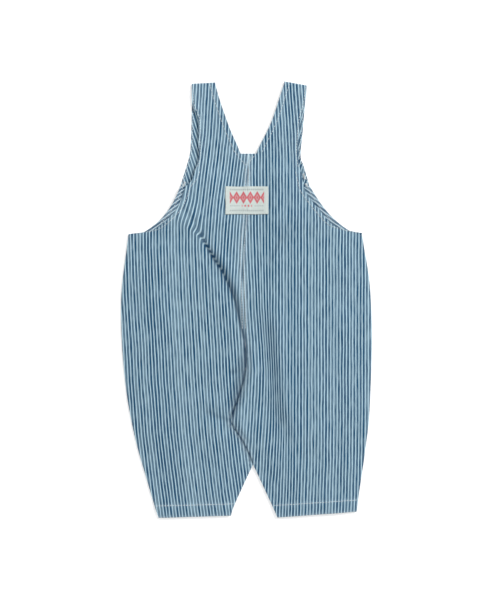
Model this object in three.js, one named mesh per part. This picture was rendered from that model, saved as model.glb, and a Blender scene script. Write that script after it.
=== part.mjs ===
// A toddler's dungarees in striped denim, fastened and laid flat with the back uppermost.
//
// Millimetres, +Z up. The garment lies on z = 0, its straps point along +Y and the wearer's right is +X.
// Each piece of cloth is a lattice of points with a wall of its own thickness about it. A lattice has a row
// for each section across the piece, worked out between the sections of a short table, and every section runs
// from the piece's inner edge (centre seam, leg opening or neck) to its outer edge (side or armhole).

import * as THREE from "three";

// Cloth and clearances
const CLOTH = 1.2; // wall of one layer of denim
const HEM_WALL = 2.2; // wall where the hem is turned up
const GAP = 0.3; // clearance between layers and across seams
const LAYER = CLOTH + GAP; // rise from the underside of one layer to the underside of the next
const FOLD_RADIUS = 1.4; // middle of the cloth at the shoulder fold
const FOLD_TURNS = [45, 90, 135]; // degrees, the sections round the shoulder fold

// Button under each strap end, and what it lifts
const BUTTON = { radius: 8.5, height: 2.4, rim: 0.7, dish: 0.5, y: 121 };
const STRAP_LIFT = BUTTON.height + GAP; // underside of the strap end above the surface
const BIB_LIFT = STRAP_LIFT + LAYER; // underside of the bib above the surface, over the strap end
const STRAP_END_Y = 132; // the strap is fully lifted below this line
const STRAP_RAMP = 18; // length over which the strap rises to it
const PAD = { lowY: 101, highY: 138, halfWidth: 21, fall: 34 }; // where the bib is fully lifted, and its slope

// Label
const LABEL = { x: 0.5, y: 118.8, width: 51.4, height: 33.4, wall: 1, columns: 6, rows: 4, clear: 0.45 };

// Lattice
const FOLD_WIDTH = 8; // half-width of the trough or ridge beside the centre seam
const PANEL_COLUMNS = [0.22, 0.48, 0.74, 0.9, 1]; // from the fold to the outer edge
const FRONT_COLUMNS = [0, 0.18, 0.36, 0.52, 0.64, 0.76, 0.88, 1];
const BAND_COLUMNS = [0, 0.33, 0.67, 1];
const SEAM_SHARE = 0.2; // share of the width over which a back panel rises from its seam
const EDGE_REACH = 0.04; // how far outside a facet, as a share of it, a point on a panel's edge may lie

const DENIM = { color: "#7794a8", roughness: 0.9, metalness: 0 };
const WOVEN_LABEL = { color: "#cdd4cf", roughness: 0.7, metalness: 0 };
const BRASS = { color: "#b0a284", roughness: 0.4, metalness: 0.9 };

// Sections of the legs and body, the same for front and back. steps is the number of rows to the next section.
// wall is the thickness, and corner names the edge that turns a corner there.
const LEG_LEFT = [
  { inX: -18.6, inY: -259.4, outX: -105.5, outY: -262.2, wall: HEM_WALL, steps: 1 },
  { inX: -14, inY: -245.4, outX: -110.6, outY: -247.4, wall: HEM_WALL, steps: 1 },
  { inX: -13, inY: -242.8, outX: -111.4, outY: -244.6, wall: CLOTH, steps: 2 },
  { inX: 7.8, inY: -198, outX: -121, outY: -212, wall: CLOTH, steps: 1, corner: "in" },
];
const LEG_RIGHT = [
  { inX: 37, inY: -261.7, outX: 132.4, outY: -254.8, wall: HEM_WALL, steps: 1 },
  { inX: 30.6, inY: -247, outX: 134, outY: -240.8, wall: HEM_WALL, steps: 1 },
  { inX: 29.4, inY: -244.4, outX: 134.3, outY: -238, wall: CLOTH, steps: 2 },
  { inX: 7.8, inY: -198, outX: 138.6, outY: -209, wall: CLOTH, steps: 1, corner: "in" },
];

// Sides from the crotch to the underarm corner, one row for each section of the body
const SIDE_LEFT = [
  { x: -126.4, y: -194 },
  { x: -131.4, y: -176 },
  { x: -137.2, y: -151 },
  { x: -143.4, y: -117 },
  { x: -147.6, y: -80 },
  { x: -150, y: -44 },
  { x: -150.7, y: -3 },
  { x: -148.5, y: 26 },
  { x: -144, y: 60 },
  { x: -141.8, y: 78.6 },
];
const SIDE_RIGHT = [
  { x: 140.9, y: -194 },
  { x: 143.2, y: -176 },
  { x: 146.6, y: -150 },
  { x: 148.6, y: -116 },
  { x: 150, y: -80 },
  { x: 150.7, y: -44 },
  { x: 149.4, y: -1 },
  { x: 146.4, y: 32 },
  { x: 141.2, y: 62 },
  { x: 138.6, y: 79.8 },
];

// Centre seam of the back: y, x, and for each side how the panel lies there. height is that of the seam above
// the front, body that of the panel beyond it, side that of the outer edge, and fold the share of the width at
// which a trough or a ridge runs, with its rise (negative for a trough).
const SEAM_BACK = [
  { x: 3.4, y: -186, height: 0.4 },
  { x: -5.6, y: -168, height: 0.4 },
  { x: -18.6, y: -146, height: 0.4 },
  { x: -8.6, y: -115, height: 0.4 },
  { x: -0.6, y: -82, height: 0.5 },
  { x: -1.8, y: -48, height: 1 },
  { x: -3, y: -1, height: 2.4 },
  { x: -4.2, y: 35, height: 2.8 },
  { x: -3.6, y: 65, height: 3 },
  { x: -1.2, y: 90, height: 3 },
];
const LIE_LEFT = [
  { body: 2, side: 0.2, fold: 0.1, rise: 0 },
  { body: 2.4, side: 0, fold: 0.1, rise: 0 },
  { body: 2.8, side: 0, fold: 0.1, rise: 0 },
  { body: 3, side: 0, fold: 0.1, rise: 0 },
  { body: 3.2, side: 0, fold: 0.1, rise: 0 },
  { body: 3.4, side: 0, fold: 0.1, rise: -0.8 },
  { body: 3.6, side: 0, fold: 0.1, rise: -2.2 },
  { body: 3.6, side: 0, fold: 0.17, rise: -1.8 },
  { body: 3.4, side: 1.7, fold: 0.31, rise: -1.2 },
  { body: 3.2, side: 1.7, fold: 0.4, rise: -0.5 },
];
const LIE_RIGHT = [
  { body: 2, side: 0.2, fold: 0.1, rise: 0.6 },
  { body: 2.4, side: 0, fold: 0.1, rise: 1.4 },
  { body: 2.8, side: 0, fold: 0.12, rise: 1.8 },
  { body: 3, side: 0, fold: 0.12, rise: 1.8 },
  { body: 3.2, side: 0, fold: 0.14, rise: 1.2 },
  { body: 3.4, side: 0, fold: 0.16, rise: 0.6 },
  { body: 3.6, side: 0, fold: 0.2, rise: 0.3 },
  { body: 3.4, side: 0, fold: 0.24, rise: 0 },
  { body: 3.2, side: 1.7, fold: 0.28, rise: 0 },
  { body: 3, side: 1.7, fold: 0.3, rise: 0 },
];

// Back panels from the underarm corner to the foot of the strap
const YOKE = { wall: CLOTH, steps: 2, height: 3, body: 3, side: 1.8, fold: 0.4, rise: 0 };
const YOKE_LEFT = [
  { ...YOKE, inX: -0.8, inY: 97, outX: -116, outY: 82 },
  { ...YOKE, inX: 0, inY: 108, outX: -101.3, outY: 90 },
  { ...YOKE, inX: 0.6, inY: 122, outX: -84.4, outY: 107 },
  { ...YOKE, inX: 1.2, inY: 136, outX: -78, outY: 121 },
  { ...YOKE, inX: 1.6, inY: 148, outX: -73.2, outY: 134, body: 2.4 },
  { ...YOKE, inX: 2, inY: 161, outX: -65.5, outY: 143, height: 2.4, body: 2 },
  { ...YOKE, inX: 2.4, inY: 175, outX: -60.5, outY: 158, height: 1.6, body: 1.8, corner: "in" },
  { ...YOKE, inX: -7.1, inY: 175, outX: -57, outY: 170, height: 1.6, body: 1.6, corner: "in" },
];
const YOKE_RIGHT = [
  { ...YOKE, inX: -0.8, inY: 97, outX: 124, outY: 82.5 },
  { ...YOKE, inX: 0, inY: 108, outX: 104, outY: 89 },
  { ...YOKE, inX: 0.6, inY: 122, outX: 86.4, outY: 108 },
  { ...YOKE, inX: 1.2, inY: 136, outX: 77.5, outY: 119 },
  { ...YOKE, inX: 1.6, inY: 148, outX: 70.3, outY: 130, body: 2.4 },
  { ...YOKE, inX: 2, inY: 161, outX: 66.6, outY: 145, height: 2.4, body: 2 },
  { ...YOKE, inX: 2.4, inY: 175, outX: 63.8, outY: 158, height: 1.6, body: 1.8, corner: "in" },
  { ...YOKE, inX: 11.4, inY: 175, outX: 61.7, outY: 171, height: 1.6, body: 1.6, corner: "in" },
];

// Straps, cut in one with the back: up to the shoulder fold, then down the front to the strap end
const STRAP = { wall: CLOTH, steps: 1, height: 1.3, body: 1.5, side: 1.3, fold: 0.4, rise: 0 };
const STRAP_LEFT = [
  { ...STRAP, inX: -11.5, inY: 186, outX: -57.5, outY: 184 },
  { ...STRAP, inX: -19.2, inY: 203, outX: -57.6, outY: 203 },
  { ...STRAP, inX: -25, inY: 219, outX: -58.2, outY: 219 },
  { ...STRAP, inX: -31.6, inY: 238, outX: -65, outY: 236 },
  { ...STRAP, inX: -37.6, inY: 258.9, outX: -65.8, outY: 257.3, body: 1.3 },
];
const STRAP_RIGHT = [
  { ...STRAP, inX: 16.5, inY: 186, outX: 61.9, outY: 185 },
  { ...STRAP, inX: 25.2, inY: 203, outX: 63.2, outY: 203 },
  { ...STRAP, inX: 32, inY: 219, outX: 65, outY: 218 },
  { ...STRAP, inX: 38.8, inY: 240, outX: 70.4, outY: 238 },
  { ...STRAP, inX: 45.4, inY: 260.2, outX: 72.2, outY: 255.4, body: 1.3 },
];
const STRAP_FRONT_LEFT = [
  { inX: -37.6, inY: 238, outX: -65.6, outY: 238 },
  { inX: -38.2, inY: 205, outX: -66.2, outY: 205 },
  { inX: -39.8, inY: 178, outX: -67.6, outY: 178 },
  { inX: -43.6, inY: 162, outX: -71.4, outY: 162 },
  { inX: -47.4, inY: 150, outX: -75.2, outY: 150 },
  { inX: -50.2, inY: 141, outX: -77.8, outY: 141 },
  { inX: -52.6, inY: 132, outX: -80, outY: 132 },
  { inX: -54, inY: 120, outX: -81.4, outY: 120 },
  { inX: -54.6, inY: 108, outX: -82, outY: 108 },
];
const STRAP_FRONT_RIGHT = [
  { inX: 42.8, inY: 238, outX: 70.6, outY: 238 },
  { inX: 40, inY: 205, outX: 67.8, outY: 205 },
  { inX: 37.2, inY: 173, outX: 65, outY: 173 },
  { inX: 40.4, inY: 162, outX: 68.2, outY: 162 },
  { inX: 44, inY: 150, outX: 71.8, outY: 150 },
  { inX: 46.6, inY: 141, outX: 74.2, outY: 141 },
  { inX: 49.2, inY: 132, outX: 76.6, outY: 132 },
  { inX: 51, inY: 120, outX: 78.4, outY: 120 },
  { inX: 51.6, inY: 108, outX: 79, outY: 108 },
];

// Centre seam of the front, one row for each section of the body
const SEAM_FRONT = [
  { x: 7.2, y: -186 },
  { x: 5.4, y: -168 },
  { x: 3, y: -146 },
  { x: 0.8, y: -115 },
  { x: -0.8, y: -82 },
  { x: -1.6, y: -48 },
  { x: -1.6, y: -1 },
  { x: -1.6, y: 35 },
  { x: -1.6, y: 65 },
  { x: -1.6, y: 88 },
];
// Bib above the underarm corner. freeX and freeY are the free edge of the facing inside the armhole.
const BIB = { inX: -1.6, wall: CLOTH, steps: 2 };
const BIB_LEFT = [
  { ...BIB, inY: 94, outX: -127.8, outY: 80, freeX: -127, freeY: 62.5 },
  { ...BIB, inY: 100, outX: -119.8, outY: 83, freeX: -113.5, freeY: 65 },
  { ...BIB, inY: 109, outX: -104.6, outY: 94.5, freeX: -92.5, freeY: 80 },
  { ...BIB, inY: 118, outX: -92.4, outY: 109, freeX: -76, freeY: 98.5 },
  { ...BIB, inY: 127, outX: -85.2, outY: 122, freeX: -67.5, freeY: 113 },
  { ...BIB, inY: 135, outX: -79.6, outY: 135, freeX: -60.5, freeY: 134.8 },
];
const BIB_RIGHT = [
  { ...BIB, inY: 94, outX: 130.6, outY: 80, freeX: 129.5, freeY: 63 },
  { ...BIB, inY: 100, outX: 122.5, outY: 83.2, freeX: 115, freeY: 66 },
  { ...BIB, inY: 109, outX: 105.7, outY: 96, freeX: 91, freeY: 83 },
  { ...BIB, inY: 118, outX: 93.2, outY: 109.5, freeX: 75, freeY: 100 },
  { ...BIB, inY: 127, outX: 83, outY: 124, freeX: 65, freeY: 114 },
  { ...BIB, inY: 135, outX: 76.3, outY: 135, freeX: 57.5, freeY: 134.8 },
];

const SIDES = {
  left: {
    hand: -1,
    leg: LEG_LEFT,
    side: SIDE_LEFT,
    lie: LIE_LEFT,
    yoke: YOKE_LEFT,
    strap: STRAP_LEFT,
    strapFront: STRAP_FRONT_LEFT,
    bib: BIB_LEFT,
    facingFoot: { x: -140.2, y: 62.5 },
    pad: { x: -67, y: BUTTON.y },
  },
  right: {
    hand: 1,
    leg: LEG_RIGHT,
    side: SIDE_RIGHT,
    lie: LIE_RIGHT,
    yoke: YOKE_RIGHT,
    strap: STRAP_RIGHT,
    strapFront: STRAP_FRONT_RIGHT,
    bib: BIB_RIGHT,
    facingFoot: { x: 137.8, y: 64 },
    pad: { x: 64, y: BUTTON.y },
  },
};

// ---- Numbers between sections ----

const mix = (a, b, share) => a + (b - a) * share;
const clamp = (value) => Math.min(1, Math.max(0, value));
const ease = (share) => (1 - Math.cos(Math.PI * clamp(share))) / 2;

/** Catmull-Rom between b and c, with a and d on either side. */
function smooth(a, b, c, d, t) {
  const bend = (c - a) * t + (2 * a - 5 * b + 4 * c - d) * t * t;
  return b + (bend + (3 * b - a - 3 * c + d) * t * t * t) / 2;
}

/** The table's sections with the rows between them; an edge that turns a corner keeps it sharp. */
function rowsBetween(sections) {
  const rows = [];
  const keys = Object.keys(sections[0]).filter((key) => key !== "steps" && key !== "corner");
  const sharp = (section, key) => section.corner && key.startsWith(section.corner);
  sections.slice(0, -1).forEach((here, index) => {
    const next = sections[index + 1];
    const before = sections[index - 1] ?? here;
    const after = sections[index + 2] ?? next;
    for (let step = 0; step < here.steps; step += 1) {
      const row = {};
      for (const key of keys) {
        const first = sharp(here, key) ? here[key] : before[key];
        const last = sharp(next, key) ? next[key] : after[key];
        row[key] = smooth(first, here[key], next[key], last, step / here.steps);
      }
      rows.push(row);
    }
  });
  rows.push({ ...sections.at(-1) });
  return rows;
}

// ---- How high the layers lie ----

/** How far the bib lies above the surface at a point, over a strap end. */
function bibLift(x, y) {
  let lift = 0;
  for (const { pad } of Object.values(SIDES)) {
    const beyondX = Math.max(0, Math.abs(x - pad.x) - PAD.halfWidth);
    const beyondY = Math.max(0, PAD.lowY - y, y - PAD.highY);
    lift = Math.max(lift, BIB_LIFT * ease(1 - Math.hypot(beyondX, beyondY) / PAD.fall));
  }
  return lift;
}

/** How far a strap's front end lies above the surface. */
const strapLift = (y) => STRAP_LIFT * ease(1 - (y - STRAP_END_Y) / STRAP_RAMP);

/** How far a back panel lies above the front at a share of its width: seam, fold, body and outer edge. */
function backRise(row, share, width) {
  const fromSeam = mix(row.height, row.body, ease(share / SEAM_SHARE));
  const toSide = clamp((share - SEAM_SHARE) / (1 - SEAM_SHARE)) ** 3;
  const away = ((share - row.fold) * width) / FOLD_WIDTH;
  return mix(fromSeam, row.side, toSide) + row.rise * Math.exp(-away * away);
}

// ---- Lattices: rows of { at, out, wall }, the middle of the cloth, its outward direction and thickness ----

const UP = new THREE.Vector3(0, 0, 1);
const DOWN = new THREE.Vector3(0, 0, -1);

/** Shares of the width for a back panel's columns: the seam, both flanks of the fold, and on to the side. */
function panelColumns(row, width) {
  const flank = Math.min(FOLD_WIDTH / width, row.fold / 2);
  const beyond = row.fold + flank;
  return [0, row.fold - flank, row.fold, beyond, ...PANEL_COLUMNS.map((share) => mix(beyond, 1, share))];
}

/** One lattice row across a section, at heights of the underside. */
function across(row, columns, underside) {
  return columns.map((share) => {
    const x = mix(row.inX, row.outX, share);
    const y = mix(row.inY, row.outY, share);
    const bottom = underside(x, y, share);
    return { at: new THREE.Vector3(x, y, bottom + row.wall / 2), out: UP, wall: row.wall };
  });
}

/** The body's sections between crotch and underarm, from a centre seam and the side. */
function bodySections(seam, side, lie) {
  return seam.map((point, index) => ({
    inX: point.x,
    inY: point.y,
    outX: side[index].x,
    outY: side[index].y,
    wall: CLOTH,
    steps: 1,
    ...(lie ? { height: point.height, ...lie[index] } : {}),
    ...(index === seam.length - 1 ? { corner: "out", steps: 2 } : {}),
  }));
}

/** Moves the inner edge half a gap off the centre seam, up to the neck. */
function seamGap(rows, hand, crotchY, neckY) {
  for (const row of rows) {
    if (row.inY >= crotchY && row.inY <= neckY) {
      row.inX += (hand * GAP) / 2;
    }
  }
  return rows;
}

/** A back panel with its strap, round the shoulder fold and down the front. */
function backLattice({ hand, leg, side, lie, yoke, strap, strapFront }) {
  const hemLie = { height: 0.6, body: 1.4, side: 0.3, fold: 0.1, rise: 0 };
  const sections = [
    ...leg.map((section) => ({ ...section, ...hemLie })),
    ...bodySections(SEAM_BACK, side, lie),
    ...yoke,
    ...strap,
  ];
  const rows = seamGap(rowsBetween(sections), hand, -199, 175).map((row) => {
    const width = Math.hypot(row.outX - row.inX, row.outY - row.inY);
    const hemRise = row.wall - CLOTH;
    return across(row, panelColumns(row, width), (x, y, share) => {
      return bibLift(x, y) + LAYER + hemRise + backRise(row, share, width);
    });
  });
  const crest = rows.at(-1);
  for (const degrees of FOLD_TURNS) {
    const turn = THREE.MathUtils.degToRad(degrees);
    const out = new THREE.Vector3(0, Math.sin(turn), Math.cos(turn));
    const arc = out.clone().sub(UP).multiplyScalar(FOLD_RADIUS);
    rows.push(crest.map((point) => ({ ...point, at: point.at.clone().add(arc), out })));
  }
  const underFold = crest.map((point) => {
    return { ...point, at: point.at.clone().addScaledVector(UP, -2 * FOLD_RADIUS), out: DOWN };
  });
  rows.push(underFold);
  const columns = crest.map((point) => (point.at.x - crest[0].at.x) / (crest.at(-1).at.x - crest[0].at.x));
  for (const section of strapFront) {
    const row = across({ ...section, wall: CLOTH }, columns, (x, y) => strapLift(y));
    rows.push(row.map((point) => ({ ...point, out: DOWN })));
  }
  return rows;
}

/** A front panel with its half of the bib, flat on the surface except over the strap end. */
function frontLattice({ hand, leg, side, bib }) {
  const sections = [...leg, ...bodySections(SEAM_FRONT, side), ...bib];
  const rows = seamGap(rowsBetween(sections), hand, -199, 135);
  return rows.map((row) => across(row, FRONT_COLUMNS, (x, y) => bibLift(x, y)));
}

/** The band inside a front armhole, its points those of the front moved up. */
function facingLattice({ side, bib, facingFoot }, front) {
  const corner = side.at(-1);
  const foot = { ...bib[0], freeX: facingFoot.x, freeY: facingFoot.y, outX: corner.x, outY: corner.y };
  const sections = [foot, ...bib].map((section) => ({ ...section, inX: section.freeX, inY: section.freeY }));
  return rowsBetween(sections).map((row) => {
    return across(row, BAND_COLUMNS, (x, y) => topAt(front, x, y) + GAP);
  });
}

/** Height of the upper face of a lattice at a point, or nothing where the point lies outside it. */
function topAt(lattice, x, y) {
  const flat = (point) => new THREE.Vector3(point.at.x, point.at.y, 0);
  const target = new THREE.Vector3(x, y, 0);
  const weights = new THREE.Vector3();
  for (let r = 0; r < lattice.length - 1; r += 1) {
    for (let c = 0; c < lattice[r].length - 1; c += 1) {
      const [a, b] = [lattice[r][c], lattice[r][c + 1]];
      const [d, e] = [lattice[r + 1][c], lattice[r + 1][c + 1]];
      if (a.out !== UP || d.out !== UP) {
        continue;
      }
      for (const corners of [[a, b, e], [a, e, d]]) {
        THREE.Triangle.getBarycoord(target, ...corners.map(flat), weights);
        if (Math.min(weights.x, weights.y, weights.z) >= -EDGE_REACH) {
          const [p, q, s] = corners.map((point) => point.at.z + point.wall / 2);
          return p * weights.x + q * weights.y + s * weights.z;
        }
      }
    }
  }
  return undefined;
}

/** The label's lattice, its points those of the two back panels moved up. */
function labelLattice(panels) {
  const rows = [];
  for (let r = 0; r < LABEL.rows; r += 1) {
    const row = [];
    for (let c = 0; c < LABEL.columns; c += 1) {
      const x = LABEL.x + LABEL.width * (c / (LABEL.columns - 1) - 0.5);
      const y = LABEL.y + LABEL.height * (r / (LABEL.rows - 1) - 0.5);
      const tops = panels.map((panel) => topAt(panel, x, y)).filter((top) => top !== undefined);
      const z = Math.max(...tops) + LABEL.clear + LABEL.wall / 2;
      row.push({ at: new THREE.Vector3(x, y, z), out: UP, wall: LABEL.wall });
    }
    rows.push(row);
  }
  return rows;
}

// ---- Solids ----

/** A closed shell from a lattice: an outer face, an inner face and a rim. */
function shellGeometry(lattice) {
  const rows = lattice.length;
  const columns = lattice[0].length;
  const positions = [];
  for (const reach of [0.5, -0.5]) {
    for (const { at, out, wall } of lattice.flat()) {
      positions.push(...at.clone().addScaledVector(out, reach * wall).toArray());
    }
  }
  const outer = (r, c) => r * columns + c;
  const inner = (r, c) => rows * columns + outer(r, c);
  const faces = [];
  const quad = (a, b, c, d) => faces.push(a, b, c, a, c, d);
  for (let r = 0; r < rows - 1; r += 1) {
    for (let c = 0; c < columns - 1; c += 1) {
      quad(outer(r, c), outer(r, c + 1), outer(r + 1, c + 1), outer(r + 1, c));
      quad(inner(r, c), inner(r + 1, c), inner(r + 1, c + 1), inner(r, c + 1));
    }
  }
  for (let r = 0; r < rows - 1; r += 1) {
    quad(outer(r, 0), outer(r + 1, 0), inner(r + 1, 0), inner(r, 0));
    quad(outer(r, columns - 1), inner(r, columns - 1), inner(r + 1, columns - 1), outer(r + 1, columns - 1));
  }
  for (let c = 0; c < columns - 1; c += 1) {
    quad(outer(0, c), inner(0, c), inner(0, c + 1), outer(0, c + 1));
    quad(outer(rows - 1, c), outer(rows - 1, c + 1), inner(rows - 1, c + 1), inner(rows - 1, c));
  }
  const geometry = new THREE.BufferGeometry();
  geometry.setAttribute("position", new THREE.Float32BufferAttribute(positions, 3));
  geometry.setIndex(faces);
  return facingOut(geometry);
}

/** Turns the faces round where the shell came out inside out, and adds normals. */
function facingOut(geometry) {
  const position = geometry.getAttribute("position");
  const index = geometry.getIndex();
  const corners = [new THREE.Vector3(), new THREE.Vector3(), new THREE.Vector3()];
  let volume = 0;
  for (let face = 0; face < index.count; face += 3) {
    corners.forEach((corner, n) => corner.fromBufferAttribute(position, index.getX(face + n)));
    volume += corners[0].dot(corners[1].clone().cross(corners[2]));
  }
  if (volume < 0) {
    const turned = [];
    for (let face = 0; face < index.count; face += 3) {
      turned.push(index.getX(face), index.getX(face + 2), index.getX(face + 1));
    }
    geometry.setIndex(turned);
  }
  geometry.computeVertexNormals();
  return geometry;
}

/** A domed metal button, face down, with a turned rim and a shallow dish. */
function buttonGeometry() {
  const { radius, height, rim, dish } = BUTTON;
  const profile = [
    [0, dish],
    [radius - 3 * rim, dish],
    [radius - 2 * rim, 0],
    [radius - rim, 0],
    [radius, rim],
    [radius - rim, height - rim],
    [radius - 3 * rim, height],
    [0, height],
  ];
  const geometry = new THREE.LatheGeometry(profile.map(([r, z]) => new THREE.Vector2(r, z)), 20);
  return geometry.rotateX(Math.PI / 2);
}

// ---- The garment ----

const garment = new THREE.Group();

function addPiece(name, geometry, finish, position) {
  const mesh = new THREE.Mesh(geometry, new THREE.MeshStandardMaterial(finish));
  mesh.name = name;
  if (position) {
    mesh.position.copy(position);
  }
  garment.add(mesh);
}

const backs = [];
for (const [side, tables] of Object.entries(SIDES)) {
  const back = backLattice(tables);
  const front = frontLattice(tables);
  backs.push(back);
  addPiece(`back_${side}`, shellGeometry(back), DENIM);
  addPiece(`front_${side}`, shellGeometry(front), DENIM);
  addPiece(`armhole_facing_${side}`, shellGeometry(facingLattice(tables, front)), DENIM);
  addPiece(`button_${side}`, buttonGeometry(), BRASS, new THREE.Vector3(tables.pad.x, tables.pad.y, 0));
}
addPiece("label", shellGeometry(labelLattice(backs)), WOVEN_LABEL);

export default garment;
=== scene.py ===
# A toddler's striped denim dungarees, laid flat with the back uppermost: cloth, seams, stitching, label.
import math

import bpy
import numpy as np
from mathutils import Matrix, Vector
from mathutils.bvhtree import BVHTree


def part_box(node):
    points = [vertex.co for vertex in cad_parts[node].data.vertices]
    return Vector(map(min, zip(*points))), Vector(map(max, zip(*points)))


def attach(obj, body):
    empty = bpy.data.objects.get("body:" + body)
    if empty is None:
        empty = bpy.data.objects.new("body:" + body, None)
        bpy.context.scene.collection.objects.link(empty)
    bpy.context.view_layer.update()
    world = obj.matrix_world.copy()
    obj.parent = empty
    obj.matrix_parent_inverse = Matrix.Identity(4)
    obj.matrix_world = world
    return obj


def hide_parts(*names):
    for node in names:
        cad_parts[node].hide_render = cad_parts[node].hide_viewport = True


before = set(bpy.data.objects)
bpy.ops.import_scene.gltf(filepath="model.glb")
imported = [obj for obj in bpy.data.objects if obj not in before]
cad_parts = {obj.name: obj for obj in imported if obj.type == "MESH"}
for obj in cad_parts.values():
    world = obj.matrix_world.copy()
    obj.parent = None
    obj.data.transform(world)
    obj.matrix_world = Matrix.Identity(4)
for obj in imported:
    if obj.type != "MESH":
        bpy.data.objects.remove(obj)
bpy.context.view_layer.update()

# ---- Sizes, in metres ----
MM = 0.001
CLOTH = 1.0 * MM  # one layer of denim
GAP = 0.3 * MM
LAYER = 1.5 * MM  # from one layer's underside to the next
STEP = 1.65 * MM  # rows of a lattice
FOLD_RADIUS = 1.4 * MM  # middle of the cloth at the shoulder fold
HEM_DEPTH = 15 * MM
EDGE_TURN = 6.5 * MM  # turned edge of neck, armhole and strap
JOINED = (-197 * MM, 174.9 * MM)  # the centre seam runs between these heights
SEAM_TURN = 4.2 * MM  # felled width on each side of the centre seam
STRIPE = 3.77 * MM  # one dark and one light stripe
DARK_SHARE = 0.69  # of a stripe's pitch
TWILL_RIB = 0.62 * MM
COLUMNS = {"back": 104, "front": 56, "facing": 18}  # of each lattice
STRAP_MIDDLE = 0.6 * MM  # middle of a strap's cloth above what it lies on
FOLD_LEVEL = 3.4 * MM  # middle of the cloth on top of the shoulder fold
FOLD_APPROACH = 22 * MM  # where the back settles to that level
SEAM_STITCHES = (-36 * MM, 158 * MM)  # the centre seam's stitches show between these
SEAM_INSET = {"left": 2.6 * MM, "right": 0.9 * MM}
STRAP_EDGE_INSET = 1.7 * MM
STRAP_STITCH = {"column": 95, "rows": 95}  # on the front strap's lattice
FACING_STITCH_COLUMN = 14
THREAD_ABOVE = [0, 0, CLOTH / 2 + 0.05 * MM]  # a thread's middle above the middle of its cloth
STRAP_LIFT = 2.7 * MM  # strap end above the surface, on its button
BIB_LIFT = 4.2 * MM  # bib above the surface, on the strap end
STRAP_END_Y, STRAP_RAMP = 132 * MM, 18 * MM
PAD = {"low": 101 * MM, "high": 138 * MM, "half": 21 * MM, "fall": 34 * MM}
PAD_X = {"left": -67 * MM, "right": 64 * MM}
LABEL = {"x": 0.5 * MM, "y": 118.8 * MM, "width": 51.4 * MM, "height": 33.4 * MM, "wall": 0.7 * MM}
LABEL_ROWS = {"lozenges": 3.4 * MM, "small": -6.6 * MM, "upper dashes": 12.9 * MM, "lower dashes": -12.2 * MM}
# A button's under face, then its upper face: each ring's inset and rise in mm
BUTTON_RINGS = [(True, ((1.6, 0.0), (1.2, 0.7), (2.6, -0.25))), (False, ((2.2, 0.5), (1.8, 0.0)))]

# ---- Sections, in millimetres: inner edge x and y, outer edge x and y ----
LEG = {
    "left": [(-18.6, -259.4, -105.5, -262.2), (-14, -245.4, -110.6, -247.4), (7.8, -198, -121, -212)],
    "right": [(37, -261.7, 132.4, -254.8), (30.6, -247, 134, -240.8), (7.8, -198, 138.6, -209)],
}
SIDE = {
    "left": [
        (-126.4, -194), (-131.4, -176), (-137.2, -151), (-143.4, -117), (-147.6, -80),
        (-150, -44), (-150.7, -3), (-148.5, 26), (-144, 60), (-141.8, 78.6),
    ],
    "right": [
        (140.9, -194), (143.2, -176), (146.6, -150), (148.6, -116), (150, -80),
        (150.7, -44), (149.4, -1), (146.4, 32), (141.2, 62), (138.6, 79.8),
    ],
}
SEAM_BACK = [
    (3.4, -186), (-5.6, -168), (-18.6, -146), (-8.6, -115), (-0.6, -82),
    (-1.8, -48), (-3, -1), (-4.2, 35), (-3.6, 65), (-1.2, 90),
]
SEAM_FRONT = [
    (7.2, -186), (5.4, -168), (3, -146), (0.8, -115), (-0.8, -82),
    (-1.6, -48), (-1.6, -1), (-1.6, 35), (-1.6, 65), (-1.6, 88),
]
YOKE = {
    "left": [
        (-0.8, 97, -116, 82), (0, 108, -101.3, 90), (0.6, 122, -84.4, 107), (1.2, 136, -78, 121),
        (1.6, 148, -73.2, 134), (2, 161, -65.5, 143), (2.4, 175, -60.5, 158), (-7.1, 175, -57, 170),
    ],
    "right": [
        (-0.8, 97, 124, 82.5), (0, 108, 104, 89), (0.6, 122, 86.4, 108), (1.2, 136, 77.5, 119),
        (1.6, 148, 70.3, 130), (2, 161, 66.6, 145), (2.4, 175, 63.8, 158), (11.4, 175, 61.7, 171),
    ],
}
STRAP = {
    "left": [
        (-11.5, 186, -57.5, 184), (-19.2, 203, -57.6, 203), (-25, 219, -58.2, 219),
        (-31.6, 238, -65, 236), (-37.6, 258.9, -65.8, 257.3),
    ],
    "right": [
        (16.5, 186, 61.9, 185), (25.2, 203, 63.2, 203), (32, 219, 65, 218),
        (38.8, 240, 70.4, 238), (45.4, 260.2, 72.2, 255.4),
    ],
}
STRAP_FRONT = {
    "left": [
        (-37.6, 238, -65.6, 238), (-38.2, 205, -66.2, 205), (-39.8, 178, -67.6, 178),
        (-43.6, 162, -71.4, 162), (-47.4, 150, -75.2, 150), (-50.2, 141, -77.8, 141),
        (-52.6, 132, -80, 132), (-54, 120, -81.4, 120), (-54.6, 108, -82, 108),
    ],
    "right": [
        (42.8, 238, 70.6, 238), (40, 205, 67.8, 205), (37.2, 173, 65, 173),
        (40.4, 162, 68.2, 162), (44, 150, 71.8, 150), (46.6, 141, 74.2, 141),
        (49.2, 132, 76.6, 132), (51, 120, 78.4, 120), (51.6, 108, 79, 108),
    ],
}
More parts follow.
